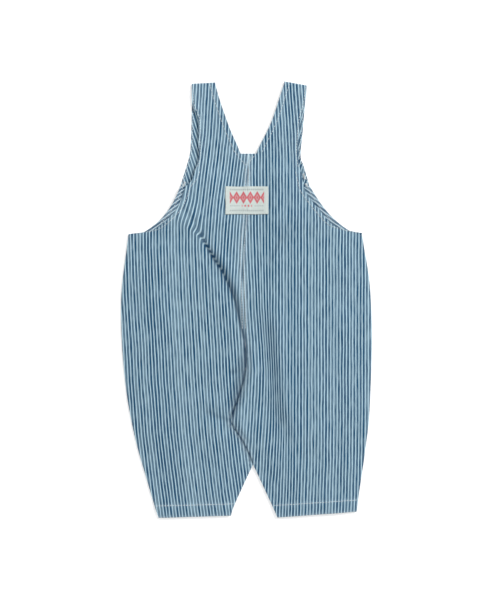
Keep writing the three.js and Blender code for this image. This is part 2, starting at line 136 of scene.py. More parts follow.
# The bib: inner x and y, outer x and y, and the free edge of the armhole facing
BIB = {
    "left": [
        (-1.6, 94, -127.8, 80, -127, 62.5), (-1.6, 100, -119.8, 83, -113.5, 65),
        (-1.6, 109, -104.6, 94.5, -92.5, 80), (-1.6, 118, -92.4, 109, -76, 98.5),
        (-1.6, 127, -85.2, 122, -67.5, 113), (-1.6, 135, -79.6, 135, -60.5, 134.8),
    ],
    "right": [
        (-1.6, 94, 130.6, 80, 129.5, 63), (-1.6, 100, 122.5, 83.2, 115, 66),
        (-1.6, 109, 105.7, 96, 91, 83), (-1.6, 118, 93.2, 109.5, 75, 100),
        (-1.6, 127, 83, 124, 65, 114), (-1.6, 135, 76.3, 135, 57.5, 134.8),
    ],
}
FACING_FOOT = {"left": (-140.2, 62.5), "right": (137.8, 64)}

# How the back lies over the front: y, then heights in mm of the centre seam, the body and the side
LIE = {
    "left": [
        (-262, 0.6, 1.2, 0.3), (-198, 0.4, 2, 0.1), (-150, 0.4, 2.8, 0), (-82, 0.5, 3.2, 0),
        (-48, 1, 3.4, 0), (-1, 2.4, 3.6, 0), (60, 3, 3.6, 1.6), (148, 3, 2.6, 1.8),
        (175, 1.6, 1.8, 1.8), (200, 1.3, 1.6, 1.3), (262, 1.3, 1.3, 1.3),
    ],
    "right": [
        (-262, 0.6, 1.2, 0.3), (-198, 0.4, 2.2, 0.1), (-150, 0.4, 3, 0), (-82, 0.5, 3.4, 0),
        (-48, 1, 3.4, 0), (-1, 2.4, 3.6, 0), (60, 3, 3.4, 1.6), (148, 3, 2.6, 1.8),
        (175, 1.6, 1.8, 1.8), (200, 1.3, 1.6, 1.3), (262, 1.3, 1.3, 1.3),
    ],
}
# Creases on the back: half-width and rise in mm (negative for a trough), then their points
CREASES = [
    (2.8, -1.9, [(-62, 96), (-47, 63), (-38, 47), (-29, 34), (-20, 15), (-13, -3), (-9, -22), (-3, -46)]),
    (8.0, 2.6, [(-44, 74), (-33, 54), (-23, 38), (-13, 18), (-6, 2), (-3, -16)]),
    (10.0, 1.0, [(-66, 68), (-52, 40), (-40, 16), (-30, -8), (-24, -34)]),
    (7.0, 3.6, [(6, -40), (8, -66), (8, -84), (3, -104), (-4, -124), (-10, -144), (-2, -160), (6, -176)]),
    (6.5, -1.6, [(21, -10), (26, -40), (30, -70), (32, -100), (36, -128), (43, -156), (46, -178)]),
    (9.0, 1.5, [(33, -8), (40, -46), (44, -84), (48, -116), (56, -150), (60, -180)]),
    (5.0, -1.2, [(-22, -88), (-12, -87), (-3, -86)]),
    (7.0, -1.1, [(-52, -132), (-38, -137), (-22, -145)]),
    (9.0, 0.9, [(-58, -120), (-40, -124), (-20, -130)]),
    (6.0, -0.8, [(-48, -166), (-32, -158), (-20, -150)]),
    (7.0, -0.9, [(46, 80), (36, 60), (27, 42), (18, 26)]),
    (9.0, 0.7, [(56, 70), (46, 48), (36, 28)]),
    (12.0, 0.7, [(-112, 60), (-108, 10), (-112, -40), (-116, -90)]),
    (12.0, -0.6, [(-92, 70), (-86, 24), (-88, -30), (-94, -84)]),
    (11.0, 0.6, [(104, 62), (112, 10), (114, -46), (110, -100)]),
    (10.0, -0.6, [(126, 40), (132, -6), (131, -50), (126, -96)]),
    (9.0, 0.6, [(-84, -150), (-76, -186), (-68, -226)]),
    (9.0, -0.5, [(-62, -160), (-54, -196), (-48, -232)]),
    (10.0, 0.6, [(88, -140), (90, -186), (92, -226)]),
    (8.0, -0.5, [(108, -160), (108, -196), (110, -236)]),
    (7.0, -0.7, [(-74, 128), (-60, 120), (-46, 108)]),
    (7.0, 0.6, [(-52, 172), (-44, 150), (-40, 128)]),
    (7.0, -0.6, [(70, 122), (58, 116), (46, 104)]),
    (6.0, 0.5, [(52, 176), (46, 154), (42, 132)]),
    (6.0, -0.5, [(-138, 66), (-124, 52), (-112, 34)]),
    (6.0, -0.5, [(134, 66), (122, 52), (112, 36)]),
    (5.0, 0.5, [(-12, -214), (-22, -228), (-30, -244)]),
    (5.0, 0.5, [(24, -214), (34, -230), (40, -246)]),
]
# Deep folds, darkened with painted shade: half-width in mm, strength, then their points
FOLD_SHADE_PATHS = [
    (
        1.9, 1.0,
        [(-60, 88), (-47, 63), (-38, 47), (-29, 34), (-20, 15), (-13, -3), (-9, -22), (-5, -38), (-1, -55)],
    ),
    (5.0, 0.5, [(-44, 60), (-29, 36), (-16, 10), (-8, -14), (-3, -34)]),
    (2.6, 1.0, [(-2, -44), (-1.6, -70), (-1.6, -84), (-4.6, -100), (-9.4, -115), (-15, -132), (-19, -146)]),
    (6.0, 0.45, [(-5, -64), (-6, -88), (-12, -110), (-19, -132)]),
    (3.4, 0.6, [(-4, -96), (-9, -115), (-15, -134)]),
    (3.0, 0.55, [(-1, -54), (-1.5, -70), (-1.6, -88)]),
    (1.7, 0.8, [(-19, -146), (-12, -158), (-5.6, -168), (3.4, -186), (7.8, -198)]),
    (3.6, 0.35, [(-20, -88), (-12, -87), (-2, -86)]),
    (3.2, 0.35, [(-50, -133), (-36, -139), (-19, -146)]),
    (9.0, 0.22, [(22, -20), (28, -55), (33, -90), (36, -124), (44, -157)]),
    (2.6, 0.25, [(44, 78), (35, 60), (26, 41)]),
    (2.2, 0.3, [(-74, 112), (-66, 100), (-60, 92)]),
]
# How far the grain has drifted sideways from straight, in mm, by height
GRAIN_BODY_LEFT = [
    (-262, 22.4), (-200, 14.6), (-160, 10.2), (-100, 5.7), (-60, 3.7), (0, 0),
    (40, -1.7), (60, -2.4), (80, -2.6), (100, -2.4), (130, -1.2), (262, 4),
]
GRAIN_YOKE_LEFT = [(-60, 3.7), (0, 0), (30, 1), (80, 3.6), (108, 5.8), (170, 13.4), (200, 16.5), (262, 20.3)]
GRAIN_FOLD_LEFT = [
    (-55, -1, 1.2), (-22, -8.5, 1.2), (0, -13.5, 1.2), (34, -29, 1.2),
    (63, -47, 1.6), (77, -55, 5), (95, -66, 22), (120, -90, 34), (262, -95, 34),
]
GRAIN_RIGHT = [(-262, -2.4), (-200, -0.6), (-150, 0), (170, 0), (200, -1), (262, -5.4)]
# Cloth taken up beside the centre seam on the right: y, mm taken up, and where it is
TAKEN_UP = [
    (-262, 1, 50), (-220, 2, 48), (-190, 3, 46), (-160, 4.4, 44), (-120, 6.6, 36), (-85, 8, 31),
    (-55, 6.6, 28), (-10, 3.8, 22), (20, 2.6, 20), (50, 1.2, 20), (90, 0, 20), (262, 0, 20),
]
# Bar tacks: x, y and length in mm, and lean
BAR_TACKS = [(-75, 138, 8, 1.2), (69, 148, 7, 1.9), (72.5, 136, 8, 2.1)]
WEDGE_LEAN = {"left": math.radians(-18), "right": math.radians(18)}
FACING_LEAN = {"left": math.radians(56), "right": math.radians(-56)}


# ---- Numbers ----
def ease(share):
    share = np.clip(share, 0, 1)
    return share * share * (3 - 2 * share)


def by_height(table, y, column=1):
    """A column of a table at heights y, in metres."""
    values = np.array(table, float) * MM
    return np.interp(y, values[:, 0], values[:, column])


def sections_between(sections, sharp_inner=(), sharp_outer=()):
    """Rows about STEP apart through the sections, by Catmull-Rom; a sharp section keeps its corner."""
    table = np.array(sections, float) * MM
    inner_sharp = np.isin(np.arange(len(table)), list(sharp_inner))
    outer_sharp = np.isin(np.arange(len(table)), list(sharp_outer))
    rows = []
    for n in range(len(table) - 1):
        here, there = table[n], table[n + 1]
        before, after = table[max(n - 1, 0)].copy(), table[min(n + 2, len(table) - 1)].copy()
        for edge, sharp in ((slice(0, 2), inner_sharp), (slice(2, None), outer_sharp)):
            before[edge] = here[edge] if sharp[n] else before[edge]
            after[edge] = there[edge] if sharp[n + 1] else after[edge]
        span = max(np.hypot(*(there - here)[0:2]), np.hypot(*(there - here)[2:4]))
        count = max(1, int(round(span / STEP)))
        t = (np.arange(count) / count)[:, None]
        bend = (there - before) * t + (2 * before - 5 * here + 4 * there - after) * t**2
        rows.append(here + (bend + (3 * here - before - 3 * there + after) * t**3) / 2)
    rows.append(table[-1:])
    return np.vstack(rows)


def points_across(rows, shares):
    """x and y of a lattice, and each row's width."""
    shares = np.asarray(shares)[None, :]
    x = rows[:, 0:1] + (rows[:, 2:3] - rows[:, 0:1]) * shares
    y = rows[:, 1:2] + (rows[:, 3:4] - rows[:, 1:2]) * shares
    width = np.hypot(rows[:, 2] - rows[:, 0], rows[:, 3] - rows[:, 1])[:, None]
    return x, y, width


def distance_to_path(x, y, path):
    """Distance to a path, and 0 to 1 along it."""
    points = np.array(path, float) * MM
    nearest = np.full(x.shape, 1e9)
    along = np.zeros(x.shape)
    for n in range(len(points) - 1):
        a, d = points[n], points[n + 1] - points[n]
        t = np.clip(((x - a[0]) * d[0] + (y - a[1]) * d[1]) / d.dot(d), 0, 1)
        gap = np.hypot(x - a[0] - t * d[0], y - a[1] - t * d[1])
        closer = gap < nearest
        nearest = np.where(closer, gap, nearest)
        along = np.where(closer, (n + t) / (len(points) - 1), along)
    return nearest, along


def creases(x, y):
    """Rise of all the creases together, each fading out at its ends."""
    rise = np.zeros(x.shape)
    for half_width, height, path in CREASES:
        gap, along = distance_to_path(x, y, path)
        fade = 0.25 + 0.75 * ease(along / 0.2) * ease((1 - along) / 0.2)
        rise += height * MM * fade * np.exp(-((gap / (half_width * MM)) ** 2))
    return rise


def painted_fold_shade(x, y):
    """Painted shade: 1 in the deepest folds, 0 on open cloth."""
    depth = np.zeros(x.shape)
    for half_width, strength, path in FOLD_SHADE_PATHS:
        gap, along = distance_to_path(x, y, path)
        fade = 0.3 + 0.7 * ease(along / 0.12) * ease((1 - along) / 0.12)
        depth = np.maximum(depth, strength * fade * np.exp(-((gap / (half_width * MM)) ** 2)))
    return depth


def waviness(x, y):
    """The slow unevenness of cloth that has been worn and washed."""
    wave = 0.35 * np.sin(x * 95 + 2.1 * np.sin(y * 31)) * np.sin(y * 47 + 1.3)
    wave += 0.25 * np.sin(x * 41 - y * 63 + 0.7) + 0.18 * np.sin(x * 150 + y * 36 + 2.2 * np.sin(y * 22))
    return wave * MM


def bib_lift(x, y):
    lift = np.zeros(np.shape(x))
    for pad_x in PAD_X.values():
        beyond_x = np.maximum(0, np.abs(x - pad_x) - PAD["half"])
        beyond_y = np.maximum(0, np.maximum(PAD["low"] - y, y - PAD["high"]))
        lift = np.maximum(lift, BIB_LIFT * ease(1 - np.hypot(beyond_x, beyond_y) / PAD["fall"]))
    return lift


def strap_lift(y):
    return STRAP_LIFT * ease(1 - (y - STRAP_END_Y) / STRAP_RAMP)


def turned_edge(distance, depth, rise=0.55 * MM):
    """The extra layer of a turned edge, with its soft step."""
    return rise * ease((depth - distance) / (1.6 * MM) + 0.5)


def pucker(distance, along, depth, height=0.22 * MM, period=9 * MM):
    """Small gathers beside a row of stitches."""
    wave = np.sin(along * 2 * math.pi / period + 1.7 * np.sin(along * 90))
    return height * wave * np.exp(-(((distance - depth) / (4 * MM)) ** 2))


# ---- Grain: how the stripes run on each piece ----
def grain_left(x, y):
    where, half = by_height(GRAIN_FOLD_LEFT, y, 1), by_height(GRAIN_FOLD_LEFT, y, 2)
    yoke = ease((x - where + half) / (2 * half))
    yoke = np.where(y < -55 * MM, 0, yoke)
    return x - (by_height(GRAIN_BODY_LEFT, y) * (1 - yoke) + by_height(GRAIN_YOKE_LEFT, y) * yoke)


def grain_right(x, y):
    beyond = ease((x - by_height(TAKEN_UP, y, 2)) / (26 * MM) + 0.5)
    return x - by_height(GRAIN_RIGHT, y) - by_height(TAKEN_UP, y) * (1 - beyond)


def grain_leaning(x, y, lean):
    return x * math.cos(lean) - y * math.sin(lean)


GRAIN = {"left": grain_left, "right": grain_right}


# ---- Meshes ----
def shell(name, points, outward, across, along, wear, wall=CLOTH, fold_shade=None):
    """A closed thin shell about a lattice. Its grain is the UV map; wear and the painted shade of the folds
    are attributes.
    """
    rows, columns = points.shape[:2]
    count = rows * columns
    faces_out = (points + outward * wall / 2).reshape(-1, 3)
    faces_in = (points - outward * wall / 2).reshape(-1, 3)
    index = np.arange(count).reshape(rows, columns)
    a, b = index[:-1, :-1].ravel(), index[:-1, 1:].ravel()
    c, d = index[1:, 1:].ravel(), index[1:, :-1].ravel()
    loop = np.concatenate([index[0, :], index[1:, -1], index[-1, -2::-1], index[-2:0:-1, 0]])
    follow = np.roll(loop, -1)
    quads = [
        np.stack([a, b, c, d], 1),
        np.stack([a, d, c, b], 1) + count,
        np.stack([follow, loop, loop + count, follow + count], 1),
    ]
    faces = np.vstack(quads)
    row_way, column_way = points[0, -1] - points[0, 0], points[-1, 0] - points[0, 0]
    if np.dot(np.cross(row_way, column_way), outward[0, 0]) < 0:
        faces = faces[:, ::-1]
    mesh = bpy.data.meshes.new(name)
    mesh.from_pydata(np.vstack([faces_out, faces_in]).tolist(), [], faces.tolist())
    corner = np.empty(len(mesh.loops), int)
    mesh.loops.foreach_get("vertex_index", corner)
    grain = np.tile(np.stack([across.ravel(), along.ravel()], 1), (2, 1))
    uv = mesh.uv_layers.new(name="grain")
    uv.data.foreach_set("uv", grain[corner].ravel().astype(np.float32))
    worn = mesh.attributes.new("wear", "FLOAT", "POINT")
    worn.data.foreach_set("value", np.tile(wear.ravel(), 2).astype(np.float32))
    # the painted shade of the deep folds, when given, goes in as an attribute
    if fold_shade is not None:
        crease_shade = mesh.attributes.new("fold_shade", "FLOAT", "POINT")
        crease_shade.data.foreach_set("value", np.tile(fold_shade.ravel(), 2).astype(np.float32))
    mesh.polygons.foreach_set("use_smooth", np.ones(len(faces), bool))
    mesh.validate()
    piece = bpy.data.objects.new(name, mesh)
    bpy.context.scene.collection.objects.link(piece)
    return piece


def edge_shares(count, crowd=0.35):
    """Shares of the width from 0 to 1, closer together at both edges."""
    s = np.linspace(0, 1, count)
    return s - crowd * np.sin(2 * math.pi * s) / (2 * math.pi)


def body_rows(side, seam):
    return [(a, b, c, d) for (a, b), (c, d) in zip(seam, SIDE[side])]


def above_hem(rows, y, share):
    """Height above the hem's edge."""
    return np.abs(y - (rows[0, 1] + (rows[0, 3] - rows[0, 1]) * share))


def length_along(rows):
    """Distance along the middle of a lattice, for what repeats along it."""
    middle = (rows[:, 0:2] + rows[:, 2:4]) / 2
    return np.concatenate([[0], np.cumsum(np.hypot(*np.diff(middle, axis=0).T))])[:, None]


def all_facing(points, way):
    """Normals straight up (1) or down (-1), one for each point."""
    outward = np.zeros_like(points)
    outward[..., 2] = way
    return outward


def back_rows(side):
    """A back panel's rows from the hem to the shoulder, with half the seam's gap taken off."""
    leg, body, yoke, strap = LEG[side], body_rows(side, SEAM_BACK), YOKE[side], STRAP[side]
    crotch, underarm = len(leg) - 1, len(leg) + len(body) - 1
    neck = underarm + len(yoke)
    rows = sections_between(leg + body + yoke + strap, (crotch, neck - 1, neck), (underarm,))
    joined = (rows[:, 1] > JOINED[0]) & (rows[:, 1] < JOINED[1])
    rows[joined, 0] += (-1 if side == "left" else 1) * GAP / 2
    return rows


def back_places(rows, shares):
    """Where each point of a back panel is: along, across, above the hem, and on which part."""
    x, y, width = points_across(rows, shares)
    share = shares[None, :] * np.ones_like(x)
    seam_y = rows[:, 1:2]
    return {
        "x": x, "y": y, "width": width, "share": share, "seam_y": seam_y,
        "inner": share * width, "outer": (1 - share) * width, "hem": above_hem(rows, y, share),
        "length": length_along(rows) * np.ones_like(x), "crotch": seam_y > -198 * MM,
        "strap": seam_y > 176 * MM, "armhole": rows[:, 3:4] > 79 * MM,
    }


def back_lie(side, place):
    """How high a back panel lies over the front before its creases: low at the seam and the side."""
    seam_rise, body_rise, side_rise = (by_height(LIE[side], place["seam_y"], n) for n in (1, 2, 3))
    rise = seam_rise + (body_rise - seam_rise) * ease(place["share"] / 0.2)
    return rise + (side_rise - rise) * np.clip((place["share"] - 0.2) / 0.8, 0, 1) ** 3


def back_bulge(place):
    """Creases and waviness, calmer beside the edges and up the strap."""
    x, y = place["x"], place["y"]
    calm = ease(np.minimum(place["inner"], place["outer"]) / (9 * MM))
    fade_strap = ease((215 * MM - y) / (40 * MM))
    bulge = creases(x, y) * (0.25 + 0.75 * calm) + waviness(x, y) * (0.3 + 0.7 * calm)
    return bulge * (0.2 + 0.8 * fade_strap)


def back_edges(place):
    """Turned edges, the felled seam, and the gathers that their stitches draw in."""
    inner, outer, length, hem = place["inner"], place["outer"], place["length"], place["hem"]
    strap_edge = turned_edge(inner, EDGE_TURN)
    felled_edge = turned_edge(inner, SEAM_TURN, 0.35 * MM)
    edges = turned_edge(hem, HEM_DEPTH, 0.7 * MM)
    edges = edges + np.where(place["strap"], strap_edge, felled_edge)
    edges = edges + np.where(place["armhole"], turned_edge(outer, EDGE_TURN), 0)
    edges = edges + pucker(hem, place["x"], HEM_DEPTH, 0.3 * MM, 11 * MM)
    edges = edges + pucker(inner, length, 3 * MM, 0.2 * MM)
    return edges + np.where(place["armhole"], pucker(outer, length, EDGE_TURN), 0)


def back_wear(place):
    """Wear on the free edges, the hem, the felled seam and the turned edges' stitching."""
    inner, outer, hem = place["inner"], place["outer"], place["hem"]
    in_seam = place["crotch"] & ~place["strap"]
    from_free_edge = np.minimum(inner + np.where(in_seam, 20 * MM, 0), outer)
    near_edge = np.exp(-from_free_edge / (1.3 * MM))
    hem_worn = np.exp(-hem / (1.4 * MM)) + 0.45 * np.exp(-np.abs(hem - HEM_DEPTH) / (1.2 * MM))
    over_seam = 0.5 * np.exp(-(((inner - 2.4 * MM) / (2.2 * MM)) ** 2))
    seam_worn = np.where(in_seam, over_seam, 0)
    turn_worn = np.where(place["armhole"], 0.35 * np.exp(-np.abs(outer - EDGE_TURN) / (1.2 * MM)), 0)
    neck_worn = np.where(place["strap"], 0.15 * np.exp(-np.abs(inner - EDGE_TURN) / (1.2 * MM)), 0)
    return np.clip(0.35 * near_edge + hem_worn + seam_worn + (turn_worn + neck_worn), 0, 1)


def shoulder_fold(top_row):
    """The strap's turn over the shoulder: points and normals round half a circle."""
    crest = top_row.copy()
    crest[:, 2] = FOLD_LEVEL
    turns = np.radians(np.arange(20, 180, 20))
    outward = np.stack([np.zeros_like(turns), np.sin(turns), np.cos(turns)], 1)
    fold = crest[None] + FOLD_RADIUS * (outward - [0, 0, 1])[:, None, :]
    return fold, np.repeat(outward[:, None, :], len(top_row), 1)


def front_strap(side, top_row, shares):
    """The strap's front, from the shoulder down to its end on the button."""
    x, y, _ = points_across(sections_between([tuple(top_row / MM)] + STRAP_FRONT[side]), shares)
    return np.stack([x, y, strap_lift(y) + STRAP_MIDDLE], 2)


def back_panel(side, material):
    """A back panel and its strap: hem to shoulder, round the fold, and down to the strap end."""
    rows, shares = back_rows(side), edge_shares(COLUMNS["back"])
    place = back_places(rows, shares)
    x, y = place["x"], place["y"]
    lie = np.maximum(back_lie(side, place) + back_bulge(place), -0.1 * MM)
    down_side = ease((place["outer"] + np.where(place["armhole"], 1, 0)) / (5 * MM))
    z = bib_lift(x, y) + LAYER + lie * (0.4 + 0.6 * down_side) + back_edges(place)
    points = np.stack([x, y, z + CLOTH / 2], 2)
    reach = ease((y[:, :1] - (rows[-1, 1] - FOLD_APPROACH)) / FOLD_APPROACH)
    points[..., 2] += (FOLD_LEVEL - points[..., 2]) * reach
    fold, fold_out = shoulder_fold(points[-1])
    front = front_strap(side, rows[-1], shares)
    lattice = np.concatenate([points, fold, front])
    outward = np.concatenate([all_facing(points, 1), fold_out, all_facing(front, -1)])
    across = np.concatenate([
        GRAIN[side](x, y),
        np.repeat(GRAIN[side](x[-1:], y[-1:]), len(fold), 0),
        grain_leaning(front[..., 0], front[..., 1], WEDGE_LEAN[side]),
    ])
    hidden = np.zeros((len(fold) + len(front), len(shares)))
    # painted shade in the deep folds of the back; none on the shoulder fold and the strap front
    fold_shade = np.concatenate([painted_fold_shade(x, y), hidden])
    hidden[: len(fold)] = 0.4
    wear = np.concatenate([back_wear(place), hidden])
    piece = shell(f"back_panel_{side}", lattice, outward, across, lattice[..., 1], wear, CLOTH, fold_shade)
    piece.data.materials.append(material)
    info = {name: place[name][:, 0] for name in ("width", "crotch", "strap", "armhole")}
    info.update(points=points, rows=rows, shares=shares, hem=place["hem"], front=front)
    return piece, info


def front_panel(side, material):
    """A front panel and its half of the bib, flat on the floor but for the strap end beneath."""
    hand = -1 if side == "left" else 1
    sections = LEG[side] + body_rows(side, SEAM_FRONT) + [row[:4] for row in BIB[side]]
    crotch, underarm = len(LEG[side]) - 1, len(LEG[side]) + len(SIDE[side]) - 1
    rows = sections_between(sections, (crotch,), (underarm,))[::2]
    rows = np.vstack([rows, np.array(sections[-1:], float) * MM])
    rows[rows[:, 1] > JOINED[0], 0] += hand * GAP / 2
    shares = edge_shares(COLUMNS["front"])
    x, y, width = points_across(rows, shares)
    share = shares[None, :] * np.ones_like(x)
    edge = np.minimum(share, 1 - share) * width
    z = bib_lift(x, y) + CLOTH / 2
    points = np.stack([x, y, z], 2)
    hem = above_hem(rows, y, share)
    worn = np.clip(0.6 * np.exp(-edge / (1.3 * MM)) + np.exp(-hem / (1.4 * MM)), 0, 1)
    across = x - by_height(GRAIN_BODY_LEFT, y) * (side == "left") * (y < 0)
    piece = shell(f"front_panel_{side}", points, all_facing(points, -1), across, y, worn)
    piece.data.materials.append(material)
    return piece


def facing(side, material):
    """The band inside the front armhole, following the bib's edge one layer up."""
    corner = SIDE[side][-1]
    foot = FACING_FOOT[side]
    sections = [(foot[0], foot[1], corner[0], corner[1])]
    sections += [(row[4], row[5], row[2], row[3]) for row in BIB[side]]
    rows = sections_between(sections)
    shares = np.linspace(0, 1, COLUMNS["facing"])
    x, y, width = points_across(rows, shares)
    from_edge = (1 - shares[None, :]) * width
    length = length_along(rows) * np.ones_like(x)
    z = bib_lift(x, y) + LAYER + CLOTH / 2 + 0.35 * MM
    z = z + turned_edge(from_edge, 5 * MM, 0.4 * MM) + pucker(from_edge, length, 4 * MM, 0.25 * MM, 8 * MM)
    points = np.stack([x, y, z], 2)
    at_edge = 0.8 * np.exp(-from_edge / (1.2 * MM))
    at_stitches = 0.4 * np.exp(-np.abs(from_edge - 4 * MM) / (1 * MM))
    worn = np.clip(at_edge + at_stitches, 0, 1)
    across = grain_leaning(x, y, FACING_LEAN[side])
    piece = shell(f"armhole_facing_{side}_cloth", points, all_facing(points, 1), across, length, worn)
    piece.data.materials.append(material)
    return piece, points


# ---- Stitches ----
def one_stitch():
    """A thread's visible stitch as vertices and faces, 1 long and 1 wide, lying along X."""
    bpy.ops.object.select_all(action="DESELECT")
    bpy.ops.mesh.primitive_cylinder_add(vertices=6, radius=0.5, depth=1.0, rotation=(0, math.pi / 2, 0))
    stitch = bpy.context.active_object
    bpy.ops.object.transform_apply(location=False, rotation=True, scale=False)
    bpy.ops.object.mode_set(mode="EDIT")
    bpy.ops.mesh.select_all(action="SELECT")
    bpy.ops.mesh.subdivide(number_cuts=1)
    bpy.ops.object.mode_set(mode="OBJECT")
    vertices = np.array([v.co[:] for v in stitch.data.vertices])
    taper = np.sqrt(np.clip(1.1 - (2 * np.abs(vertices[:, 0])) ** 4, 0.1, 1))
    vertices[:, 1:] *= taper[:, None]
    faces = [list(p.vertices) for p in stitch.data.polygons]
    bpy.data.objects.remove(stitch, do_unlink=True)
    return vertices, faces


def along_path(path, pitch, length):
    """Centres and directions of stitches at a pitch along a path of points."""
    steps = np.diff(path, axis=0)
    lengths = np.linalg.norm(steps, axis=1)
    total = np.concatenate([[0], np.cumsum(lengths)])
    count = max(1, int(total[-1] / pitch))
    at = (np.arange(count) + 0.5) * total[-1] / count
    ends = []
    for off in (-length / 2, length / 2):
        ends.append(np.stack([np.interp(at + off, total, path[:, n]) for n in range(3)], 1))
    return (ends[0] + ends[1]) / 2, ends[1] - ends[0]


def sew(name, paths, material, pitch=3.2 * MM, length=2.6 * MM, thick=0.64 * MM):
    """Rows of stitches along paths, joined as one piece."""
    vertices, faces = one_stitch()
    all_vertices, all_faces, offset = [], [], 0
    for path in paths:
        if len(path) < 2:
            continue
        centres, directions = along_path(path, pitch, length)
        for centre, direction in zip(centres, directions):
            size = np.linalg.norm(direction)
            if size < 0.3 * length:
                continue
            e = direction / size
            side = np.cross([0, 0, 1.0], e)
            side /= np.linalg.norm(side)
            up = np.cross(e, side)
            placed = np.outer(vertices[:, 0] * size, e) + np.outer(vertices[:, 1] * thick, side)
            placed += np.outer(vertices[:, 2] * thick * 0.7, up) + centre
            all_vertices.append(placed)
            all_faces += [[n + offset for n in f] for f in faces]
            offset += len(vertices)
    mesh = bpy.data.meshes.new(name)
    mesh.from_pydata(np.vstack(all_vertices).tolist(), [], all_faces)
    mesh.polygons.foreach_set("use_smooth", np.ones(len(all_faces), bool))
    piece = bpy.data.objects.new(name, mesh)
    bpy.context.scene.collection.objects.link(piece)
    piece.data.materials.append(material)
    return piece


def on_lattice(info, keep, inset, edge="inner", wall=CLOTH):
    """A path on the upper face of a lattice, at a distance from its inner or outer edge."""
    points, shares, width = info["points"], info["shares"], info["width"]
    path = []
    for r in np.nonzero(keep)[0]:
        share = inset / width[r]
        share = share if edge == "inner" else 1 - share
        path.append([np.interp(share, shares, points[r, :, n]) for n in range(3)])
    path = np.array(path)
    path[:, 2] += wall / 2 + 0.08 * MM
    return path


def seam_paths(side, info):
    """Paths of a back panel's topstitching: centre seam, neck, armhole and hem."""
    inner_y, outer_y = info["rows"][:, 1], info["rows"][:, 3]
    seam = info["crotch"] & ~info["strap"] & (inner_y > SEAM_STITCHES[0]) & (inner_y < SEAM_STITCHES[1])
    low_edge = info["armhole"] & (outer_y < 152 * MM)
    high_edge = info["armhole"] & (outer_y >= 158 * MM)
    return [
        on_lattice(info, seam, SEAM_INSET[side]),
        on_lattice(info, info["strap"], EDGE_TURN),
        on_lattice(info, low_edge, EDGE_TURN, "outer"),
        on_lattice(info, high_edge, STRAP_EDGE_INSET, "outer"),
        across_hem(info, HEM_DEPTH - 0.8 * MM),
    ]


def across_hem(info, depth, wall=CLOTH):
    """A path across a leg, at a depth above its hem."""
    points, hem = info["points"], info["hem"]
    path = []
    for c in range(2, points.shape[1] - 2):
        path.append([np.interp(depth, hem[:40, c], points[:40, c, n]) for n in range(3)])
    path = np.array(path)
    path[:, 2] += wall / 2 + 0.05 * MM
    return path


# ---- Materials ----
def srgb(red, green, blue):
    """A colour on the 0 to 255 scale, made linear."""
    linear = []
    for value in (red, green, blue):
        linear.append(((value / 255 + 0.055) / 1.055) ** 2.4 if value > 10 else value / 3294)
    return tuple(linear) + (1,)


def node(tree, kind, **values):
    made = tree.nodes.new(kind)
    for key, value in values.items():
        if key in made.inputs:
            made.inputs[key].default_value = value
        else:
            setattr(made, key, value)
    return made


def maths(tree, operation, first, second=None, third=None):
    made = tree.nodes.new("ShaderNodeMath")
    made.operation = operation
    for socket, value in zip(made.inputs, (first, second, third)):
        if value is None:
            continue
        if isinstance(value, (int, float)):
            socket.default_value = value
        else:
            tree.links.new(value, socket)
    return made.outputs[0]


def mixed(tree, share, first, second):
    made = tree.nodes.new("ShaderNodeMix")
    made.data_type = "RGBA"
    for socket, value in ((made.inputs[0], share), (made.inputs[6], first), (made.inputs[7], second)):
        if isinstance(value, (int, float, tuple)):
            socket.default_value = value
        else:
            tree.links.new(value, socket)
    return made.outputs[2]


def group(name, inputs, outputs):
    tree = bpy.data.node_groups.new(name, "ShaderNodeTree")
    for label, kind, value in inputs:
        socket = tree.interface.new_socket(label, in_out="INPUT", socket_type=kind)
        if value is not None:
            socket.default_value = value
    for label, kind in outputs:
        tree.interface.new_socket(label, in_out="OUTPUT", socket_type=kind)
    return tree, tree.nodes.new("NodeGroupInput"), tree.nodes.new("NodeGroupOutput")


def noise(tree, vector, scale, detail=2.0, stretch=None):
    if stretch:
        mapping = node(tree, "ShaderNodeMapping")
        mapping.inputs["Scale"].default_value = stretch
        tree.links.new(vector, mapping.inputs["Vector"])
        vector = mapping.outputs[0]
    made = node(tree, "ShaderNodeTexNoise", Scale=scale, Detail=detail)
    tree.links.new(vector, made.inputs["Vector"])
    return made.outputs["Fac"]


